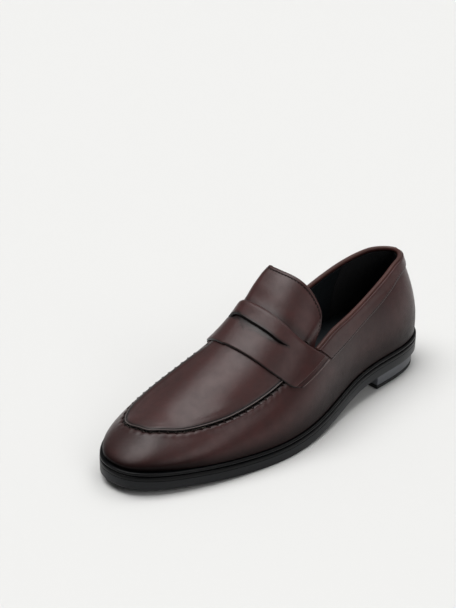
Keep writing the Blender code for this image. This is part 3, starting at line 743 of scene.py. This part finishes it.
def eased(grid, inside):
    """Grid with its pinch by the toe smoothed away, where inside is one."""
    points = grid.reshape(-1, 3)
    near = np.flatnonzero((np.abs(points[:, 1] - PINCH_Y) < EASE_REACH) & (inside.ravel() > 0))
    source = np.flatnonzero(np.abs(points[:, 1] - PINCH_Y) < EASE_REACH + 20)
    area = np.linalg.norm(np.cross(np.gradient(grid, axis=0), np.gradient(grid, axis=1)), axis=-1)
    area = area.ravel()[source]
    fade = inside.ravel()[near] * smooth((EASE_REACH - 1 - np.abs(points[near, 1] - PINCH_Y)) / 14)
    out = points.copy()
    for some in np.array_split(np.arange(len(near)), 20):
        gap = points[near[some], None, :2] - points[None, source, :2]
        weight = np.exp(-(gap**2).sum(-1) / (2 * EASE_WIDTH**2)) * area
        level_z = (weight * points[source, 2]).sum(1) / weight.sum(1)
        out[near[some], 2] += (level_z - points[near[some], 2]) * fade[some]
    return out.reshape(grid.shape)


def apron_piece():
    """Apron with a raised rim along its seam, closed over the ridge of the instep."""
    lateral = even_columns(float(around(APRON_END_Y, 1)), float(TOE_S), COLUMN_GAP)
    y = sole_edge(lateral)[:, 1]
    s = np.concatenate([lateral, around(y[:-1], -1)[::-1]])
    low = seam_t(s) + 0.002
    unit = rise_per_t(s, low)
    edge = steps((1.0, 5), (2.4, 8), (11, 8))
    edge_t = low[:, None] + edge[None] / unit[:, None]
    share = np.linspace(0, 1, 22)[None, 1:]
    t = np.concatenate([edge_t, edge_t[:, -1:] * (1 - share) + share], axis=1)
    distance = np.concatenate([edge[None] + 0 * edge_t, np.full((len(s), 21), 99.0)], axis=1)
    offset = profile(np.minimum(distance, 10.9), APRON_LIP)
    offset = offset + seam_stand(s)[:, None] * np.exp(-(distance / 4.5)**2)
    # Edge dye on the lip, painted shade just beyond it and a soft painted shade along the seam; a painted
    # highlight line on the lip's top.
    dark = 0.9 * np.exp(-(distance - 1.8) / 0.6) + 0.35 * np.exp(-distance / 6)
    dark = np.where(distance < 1.8, 1.0, dark)
    worn = 0.75 * np.exp(-((distance - 0.95) / 0.2)**2)
    outer = on_last(s[:, None] + 0 * t, t, offset[..., None])
    under = on_last(s[:, None] + 0 * t, t, np.full(t.shape, -1.3)[..., None])
    for grid in (outer, under):
        for k in range(len(s) // 2):
            middle = (grid[k, -1] + grid[-1 - k, -1]) / 2
            grid[k, -1] = middle
            grid[-1 - k, -1] = middle
    inside = smooth((np.minimum(t / low[:, None] - 1, (1 - low[:, None]) * 9) - 0.12) / 0.25)
    outer, under = eased(outer, inside), eased(under, inside)
    # Painted shade on the apron where it shows through the keeper slot.
    dark = dark + 0.8 * np.exp(-(slot_distance(outer) / 2.5)**2)
    index, other, faces = skins(outer)
    faces += [np.stack([index[:-1, 0], index[1:, 0], other[1:, 0], other[:-1, 0]], -1),
              np.stack([index[0, :-1], other[0, :-1], other[0, 1:], index[0, 1:]], -1),
              np.stack([index[-1, :-1], index[-1, 1:], other[-1, 1:], other[-1, :-1]], -1)]
    faces = np.concatenate([f.reshape(-1, 4) for f in faces])
    verts = np.concatenate([outer.reshape(-1, 3), under.reshape(-1, 3)])
    dark = np.clip(np.tile(dark.ravel(), 2), 0, 1)
    mesh = mesh_from(verts, faces, burnish=dark, worn=np.tile(worn.ravel(), 2))
    link("apron_leather", mesh, CALF, "shoe", ["apron"])


def apron_thread():
    """Dark whip stitches that draw the wall up to the apron, one in each gather."""
    first, final = float(around(-24, 1)), float(around(-24, -1))
    s = np.linspace(first, final, 3000)
    beats = seam_run(s) / PITCH
    paths = []
    for beat in np.arange(np.ceil(beats[0]), np.floor(beats[-1]) + 1):
        at = np.interp(beat, beats, s)
        lean = np.linspace(-0.5, 0.5, 7) * 0.0016
        where = at + lean
        unit = rise_per_t(where, seam_t(where))
        down = np.linspace(2.1, -0.9, 7)
        t = seam_t(where) - down / unit
        lift = np.array([-0.35, 0.12, 0.25, 0.12, 0.0, -0.1, -0.5]) + seam_stand(where)
        paths.append(on_last(where, t, lift[:, None]))
    link("apron_thread", tubes(paths, 0.31), DARK_THREAD, "shoe")


def collar_piece():
    """Band round the opening, its lower edge stitched down."""
    down = steps((0.5, 3), (1.0, 2))
    rows = np.concatenate([down, np.linspace(1.0, COLLAR_WIDTH - 1.0, 20)[1:], COLLAR_WIDTH - down[::-1]])
    share = rows / rows[-1]
    start_y = COLLAR_FRONT_Y - COLLAR_SLANT * share
    first, final = around(start_y, 1), around(start_y, -1) - 1
    u = np.linspace(0, 1, 330)[:, None]
    s = first[None] * (1 - u) + final[None] * u
    y = foot_y(np.mod(s, 1))
    z = collar_seam_z(y) * (1 - share) + (topline_z(y) - 1.9) * share
    t = level(s, z)
    from_low, from_high = rows, rows[-1] - rows
    offset = profile(from_low, COLLAR_LOW_LIP) + profile(np.minimum(from_high, 2.9), COLLAR_TOP_LIP)
    # Dark lower edge, painted shade in the stitch groove and a faint painted highlight on the rim between
    # them.
    dark = 0.9 * np.exp(-(from_low / 0.6)**2) + 0.7 * np.exp(-(from_low - 1.45)**2 / 0.12)
    s_mod = np.where(s < 0, s + 1, s)
    worn = 0.12 * np.exp(-((from_low - 0.75) / 0.25)**2)
    leather_piece("collar_leather", s_mod, t, offset[None], 0.3, dark[None], CALF, ["collar_band"],
                  worn=worn[None])

    def line(height):
        def at(u):
            start = COLLAR_FRONT_Y - COLLAR_SLANT * 0.1
            s = around(start, 1) * (1 - u) + (around(start, -1) - 1) * u
            y = foot_y(np.mod(s, 1))
            return np.mod(s, 1), level(s, collar_seam_z(y) + height), 0 * u
        return at
    stitches("collar_thread", line(1.45), FINE_PITCH, FINE_STITCH, 0.24, 1.12, DARK_THREAD)


def rolled_edge():
    """Turned leather edge round the opening, over the ends of leather and lining."""
    u = np.linspace(0, 1, 420)
    s = around(6.5, 1) * (1 - u) + (around(6.5, -1) - 1) * u
    y = foot_y(np.mod(s, 1))
    t = level(s, topline_z(y) - 1.6)
    spine = on_last(np.mod(s, 1), t, np.full(420, -1.55)[:, None])
    roll = tubes([spine], 1.75, 16)
    link("topline_roll", roll, EDGE_CALF, "shoe", ["topline_binding"])


def saddle(across, front, rear, w):
    """Patch over the instep between front and rear lines (t, y) repeated on both sides."""
    s_rows, t_rows = [], []
    for side in (1, -1):
        v = across if side > 0 else across[-2::-1]
        t_rows.append(np.minimum(front[0](v)[:, None] * (1 - w) + rear[0](v)[:, None] * w, 1))
        y = front[1](v)[:, None] * (1 - w) + rear[1](v)[:, None] * w
        s_rows.append(around(y, side))
    return np.concatenate(s_rows), np.concatenate(t_rows)


def instep_rise(s, t):
    """How much the tongue and the strap over it stand fuller than the last along the ridge."""
    y = foot_y(np.mod(s, 1))
    along = profile(np.clip(y, -44, 29), INSTEP_RISE)
    return along * smooth((t - 0.55) / 0.35)


def slot_outline():
    """Keeper slot seen from above: a lens shape with a pointed notch in its front edge."""
    rear_x, rear_y = np.array(SLOT_REAR, float).T
    x = np.linspace(0, rear_x[-1], 24)
    upper = np.stack([x, spline((rear_x, rear_y))(x)], -1)
    front = np.array([SLOT_REAR[-1]] + SLOT_FRONT, float)[::-1]
    x2 = np.linspace(front[0, 0], front[-1, 0], 24)
    lower = np.stack([x2, spline((front[:, 0], front[:, 1]))(x2)], -1)[::-1]
    right = np.concatenate([upper, lower[1:]])
    left = right[::-1] * [-1, 1]
    return np.concatenate([right, [SLOT_CUSP], left[:-1]]) + [SLOT_MIDDLE_X, 0]


def slot_distance(points):
    """Distance from points to the slot's outline, seen from above."""
    return np.min([np.linalg.norm(points[..., :2] - corner, axis=-1) for corner in slot_outline()], axis=0)


def strap_piece():
    """Saddle strap: rounded painted edges, sewn-down ends, and the keeper slot."""
    front = (spline((STRAP_V, STRAP_FRONT[0])), spline((STRAP_V, STRAP_FRONT[1])))
    rear = (spline((STRAP_V, STRAP_REAR[0])), spline((STRAP_V, STRAP_REAR[1])))
    low = steps((1.0, 6), (2.2, 4), (7.6, 6), (9.6, 8), (12, 3)) / STRAP_REACH
    across = np.concatenate([low, np.linspace(low[-1], 1, 62)[1:]])
    edge = steps((0.9, 5), (2.0, 3)) / STRAP_WIDTH
    w = np.concatenate([edge, np.linspace(edge[-1], 1 - edge[-1], 44)[1:-1], 1 - edge[::-1]])
    s, t = saddle(across, front, rear, w)
    v = np.concatenate([across, across[-2::-1]])[:, None]
    from_low = v * STRAP_REACH + 0 * w
    from_front = w[None] * STRAP_WIDTH + 0 * v
    from_rear = (1 - w[None]) * STRAP_WIDTH + 0 * v
    offset = profile(np.minimum(from_low, STRAP_REACH - 1), STRAP_END_LIP)
    offset = offset + profile(from_front, STRAP_FRONT_LIP) + profile(from_rear, STRAP_REAR_LIP)
    offset = np.maximum(offset, 0.95)
    rise = instep_rise(s, t)
    from_slot = slot_distance(on_last(s, t, (offset + rise)[..., None]))
    # Dark painted edges with painted shade along them, painted shade in the grooves at the sewn-down end
    # and round the keeper slot, and painted highlights on the raised rims.
    dark = np.exp(-(from_front / 0.7)**2) + np.exp(-(from_low / 0.3)**2) + 0.5 * np.exp(-from_rear / 0.6)
    dark = dark + 0.95 * np.exp(-(from_low - 8.3)**2 / 0.16) + 0.8 * np.exp(-(from_low - 1.8)**2 / 0.14)
    dark = dark + 1.1 * np.exp(-(from_slot / 0.9)**2)
    worn = 0.8 * np.exp(-((from_low - 0.85) / 0.28)**2) + 0.4 * np.exp(-((from_low - 9.2) / 0.35)**2)
    worn = worn * smooth(from_front / 4) * smooth(from_rear / 3)
    strap = leather_piece("strap_leather", s, t, offset + rise, rise + 0.8, dark, CALF, ["saddle_strap"],
                          worn=worn)
    strap.data.materials.append(EDGE_PAINT)
    cut_slot(strap)


def cut_slot(strap):
    """Keeper slot cut through the strap, its walls painted dark."""
    work = bmesh.new()
    corners = [(x * MM, y * MM, SLOT_CUT_LOW * MM) for x, y in slot_outline()]
    face = work.faces.new([work.verts.new(corner) for corner in corners])
    grown = bmesh.ops.extrude_face_region(work, geom=[face])
    for item in grown["geom"]:
        if isinstance(item, bmesh.types.BMVert):
            item.co.z = SLOT_CUT_HIGH * MM
    bmesh.ops.recalc_face_normals(work, faces=work.faces)
    mesh = bpy.data.meshes.new("slot_cutter")
    work.to_mesh(mesh)
    work.free()
    mesh.materials.append(EDGE_PAINT)
    cutter = bpy.data.objects.new("slot_cutter", mesh)
    bpy.context.scene.collection.objects.link(cutter)
    boolean = strap.modifiers.new("Slot", "BOOLEAN")
    boolean.operation = "DIFFERENCE"
    boolean.solver = "EXACT"
    boolean.material_mode = "TRANSFER"
    boolean.object = cutter
    graph = bpy.context.evaluated_depsgraph_get()
    done = bpy.data.meshes.new_from_object(strap.evaluated_get(graph))
    strap.modifiers.clear()
    strap.data = done
    bpy.data.objects.remove(cutter)


def tongue_tuck(t):
    """How far the flank of the tongue draws in, to pass inside the topline."""
    return -4.6 * smooth((0.49 - t) / 0.12)


def tongue_pieces():
    """Tongue with a stitched edge, tucked in at its sides, and its lining."""
    root_line, edge_line = spline((TONGUE_T, TONGUE_ROOT)), spline((TONGUE_EDGE_T, TONGUE_EDGE))
    lowest = TONGUE_EDGE_T[0]

    def height(v):
        return lowest + (1 - lowest) * v

    def front_y(v):
        root = root_line(np.maximum(height(v), TONGUE_T[0]))
        return np.minimum(root, edge_line(height(v)) - 5) - 1.0

    def rear_y(v):
        return edge_line(height(v))
    v = np.concatenate([steps((1.2, 5), (6, 6)) / TONGUE_REACH, np.linspace(6 / TONGUE_REACH, 1, 52)[1:]])
    edge = TONGUE_WIDTH - steps((1.0, 5), (4.0, 10))[::-1]
    w = np.concatenate([np.linspace(0, TONGUE_WIDTH - 4, 26), edge]) / TONGUE_WIDTH
    s, t = saddle(v, (height, front_y), (height, rear_y), w)
    from_top = (1 - w[None]) * TONGUE_WIDTH + 0 * t
    base = tongue_tuck(t) + instep_rise(s, t)
    offset = profile(from_top, TONGUE_LIP) + base
    # Dark painted edge, painted shade in the groove by the stitches and towards the root, where it passes
    # under the strap.
    dark = 0.8 * np.exp(-from_top / 0.45) + 0.9 * np.exp(-(from_top - 2.8)**2 / 0.2)
    dark = np.maximum(dark, 0.55 * smooth((10 - (TONGUE_WIDTH - from_top)) / 8))
    leather_part = leather_piece("tongue_leather", s, t, offset, base - 1.3, dark, CALF, ["tongue"],
                                 None, True)
    inset = np.clip(1 - from_top / 3, 0, 1) * 0.25
    under = base - 1.5 - 0.7 * (from_top < 0.2)
    lining = leather_piece("tongue_lining_leather", s, t, under - inset, base - 2.5, 0.0, BLACK_LINING,
                           ["tongue_lining"], None, True)
    for piece in (leather_part, lining):
        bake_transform(piece)

    def line(u):
        side_t = 1 - (1 - TONGUE_THREAD_T) * np.abs(2 * u - 1)
        y = edge_line(side_t) - 2.8
        s = np.where(u < 0.5, around(y, 1), around(y, -1))
        return s, side_t, tongue_tuck(side_t) + instep_rise(s, side_t) - 0.2
    stitches("tongue_thread", line, FINE_PITCH, FINE_STITCH, 0.3, 0.16, DARK_THREAD,
             "tongue_body", True)


# ---- sole

def sweep(name, table, material, nodes, count=420):
    """Ring swept round the sole outline; the table gives (inset, height above the underside)."""
    s = np.arange(count) / count
    rings = []
    for inset, height in table:
        p = plan(s, inset)
        rings.append(np.column_stack([p - [CENTRE_X, 0], underside(p[:, 1]) + height]))
    verts = np.concatenate(rings)
    faces = []
    for k in range(len(rings)):
        a, b = k * count, ((k + 1) % len(rings)) * count
        i = np.arange(count)
        j = (i + 1) % count
        faces.append(np.stack([a + i, a + j, b + j, b + i], -1))
    return link(name, mesh_from(verts, np.concatenate(faces)), material, "shoe", nodes, 0.8)


def plate(name, outline, low, high, material, nodes, cuts, bevel=0.5):
    """Plate with a plan outline whose faces follow the sole along y, its rims rounded."""
    work = bmesh.new()
    work.faces.new([work.verts.new((x * MM, y * MM, 0)) for x, y in outline])
    ys = outline[:, 1]
    for y in np.linspace(ys.min(), ys.max(), cuts + 2)[1:-1]:
        parts = work.verts[:] + work.edges[:] + work.faces[:]
        bmesh.ops.bisect_plane(work, geom=parts, dist=1e-6, plane_co=(0, y * MM, 0), plane_no=(0, 1, 0))
    bottom = work.verts[:]
    grown = bmesh.ops.extrude_face_region(work, geom=work.faces[:], use_keep_orig=True)
    for item in grown["geom"]:
        if isinstance(item, bmesh.types.BMVert):
            item.co.z = float(high(item.co.y / MM)) * MM
    for vert in bottom:
        vert.co.z = float(low(vert.co.y / MM)) * MM
    bmesh.ops.recalc_face_normals(work, faces=work.faces)
    sharp = [e for e in work.edges if len(e.link_faces) == 2 and e.calc_face_angle(0) > 1.0]
    bmesh.ops.bevel(work, geom=sharp, offset=bevel * MM, segments=3, affect="EDGES", profile=0.5,
                    clamp_overlap=True)
    mesh = bpy.data.meshes.new(name)
    work.to_mesh(mesh)
    work.free()
    return link(name, mesh, material, "shoe", nodes, 0.7)


def outline_at(inset, front=-200.0, count=300, toe_inset=0.0):
    """Plan outline, cut off square in front of a station, drawn in at the toe."""
    s = np.arange(count) / count
    drawn_in = toe_inset * smooth((-112 - sole_edge(s)[:, 1]) / 38)
    p = plan(s, inset + drawn_in) - [CENTRE_X, 0]
    p = p[p[:, 1] > front + 0.4]
    if front > -200.0:
        turn = np.argmax(np.linalg.norm(np.roll(p, -1, 0) - p, axis=1))
        ends = [(x, front) for x in (p[turn, 0], p[(turn + 1) % len(p), 0])]
        p = np.insert(p, turn + 1, ends, axis=0)
    return p


def sole_pieces():
    """Band with its bead, outsole, heel block, top piece and the sock liner inside."""
    sweep("band_rubber_ring", BAND_SECTION, BAND_RUBBER, ["welt_band"])
    plate("outsole_plate", outline_at(0.05), underside, lambda y: underside(y) + OUTSOLE_THICK, SOLE_RUBBER,
          ["outsole"], 60, 0.7)
    heel = outline_at(HEEL_INSET, front=HEEL_BREAST_Y)
    plate("heel_lift", heel, lambda y: TOP_PIECE_THICK + 0.2 + 0 * y, lambda y: underside(y) - GAP,
          HEEL_RUBBER, ["heel_block"], 6, 0.3)
    plate("heel_tip", heel, lambda y: 0 * y, lambda y: TOP_PIECE_THICK + 0 * y,
          TOP_RUBBER, ["heel_top_piece"], 3, 0.5)

    def sock_low(y):
        return underside(y) + SOCK_LOW + (PAD_THICK + GAP) * smooth((y - PAD_FRONT_Y) / 14)
    sock = outline_at(SOCK_INSET, toe_inset=TOE_ROOM)
    plate("sock_leather", sock, sock_low, lambda y: sock_low(y) + SOCK_THICK, BLACK_LINING,
          ["sock_liner"], 60, 0.35)


def dress_frame():
    """Procedural materials for the frame nodes that have no detailed piece."""
    looks = {"vamp_lining": TEXTILE, "quarter_lining_lateral": BLACK_LINING,
             "quarter_lining_medial": BLACK_LINING, "heel_grip": SUEDE, "toe_puff": STIFF,
             "heel_counter": STIFF, "insole_board": BOARD, "heel_pad": FOAM, "shank": STEEL,
             "cork_filler": CORK}
    for name, material in looks.items():
        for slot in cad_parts[name].material_slots:
            slot.material = material


# ---- stage

def add_camera():
    """Long lens from the lateral toe quarter, rolled by about a degree."""
    azimuth, elevation, roll = np.radians(CAMERA_ANGLES)
    flat = np.cos(elevation)
    back = Vector((np.sin(azimuth) * flat, -np.cos(azimuth) * flat, np.sin(elevation)))
    right = Vector((np.cos(azimuth), np.sin(azimuth), 0))
    up = back.cross(right)
    turned_right = right * np.cos(roll) + up * np.sin(roll)
    turned_up = up * np.cos(roll) - right * np.sin(roll)
    camera = bpy.data.cameras.new("camera")
    camera.lens = CAMERA_LENS
    camera.sensor_width = 36.0
    camera.clip_start, camera.clip_end = 0.05, 40.0
    obj = bpy.data.objects.new("camera", camera)
    turn = Matrix((turned_right, turned_up, back)).transposed()
    aim = Vector(CAMERA_AIM)
    obj.matrix_world = Matrix.Translation(aim + back * CAMERA_DISTANCE) @ turn.to_4x4()
    bpy.context.scene.collection.objects.link(obj)
    bpy.context.scene.camera = obj


def add_floor():
    """Plain pale floor."""
    work = bmesh.new()
    bmesh.ops.create_grid(work, x_segments=1, y_segments=1, size=12)
    mesh = bpy.data.meshes.new("floor")
    work.to_mesh(mesh)
    work.free()
    material, tree, shader = nodes_of("pale_floor")
    shader.inputs["Base Color"].default_value = FLOOR_COLOR
    shader.inputs["Roughness"].default_value = 0.9
    shader.inputs["Specular IOR Level"].default_value = 0.0
    mesh.materials.append(material)
    floor = bpy.data.objects.new("floor", mesh)
    bpy.context.scene.collection.objects.link(floor)
    floor.location.z = -0.0003


def add_studio():
    """Studio as a far surround: dim by the camera, lighter behind, with soft boxes overhead."""
    world = bpy.data.worlds.new("studio")
    bpy.context.scene.world = world
    world.use_nodes = True
    tree = world.node_tree
    background = tree.nodes["Background"]
    direction = add_node(tree, "ShaderNodeTexCoord").outputs["Generated"]

    def toward(aim):
        dot = add_node(tree, "ShaderNodeVectorMath", operation="DOT_PRODUCT")
        tree.links.new(direction, dot.inputs[0])
        dot.inputs[1].default_value = Vector(aim).normalized()
        return dot.outputs["Value"]
    total = scaled(tree, toward(FAR_SIDE), -0.7, 0.9, FAR_DIM, FAR_BRIGHT)
    for aim, width, power in SOFTBOXES:
        glow = add_node(tree, "ShaderNodeMapRange", {1: 1 - width, 2: 1 - width * 0.25, 3: 0.0, 4: power},
                        interpolation_type="SMOOTHSTEP")
        tree.links.new(toward(aim), glow.inputs[0])
        both = add_node(tree, "ShaderNodeMath", operation="ADD")
        tree.links.new(total, both.inputs[0])
        tree.links.new(glow.outputs[0], both.inputs[1])
        total = both.outputs[0]
    tree.links.new(total, background.inputs["Strength"])
    background.inputs["Color"].default_value = (1.0, 0.998, 0.99, 1)
    bpy.context.scene.view_settings.view_transform = "Standard"


add_camera()
add_floor()
add_studio()
dress_frame()
wall_columns = even_columns(0.0008, float(around(WALL_END_Y, -1)), COLUMN_GAP)
wall_piece("wall_leather", wall_columns, ["vamp_wall"])
medial_columns = even_columns(float(around(WALL_END_Y + 0.5, -1)), 0.9992, 1.4)
wall_piece("medial_leather", medial_columns, ["medial_quarter"])
apron_piece()
apron_thread()
collar_piece()
rolled_edge()
strap_piece()
tongue_pieces()
sole_pieces()
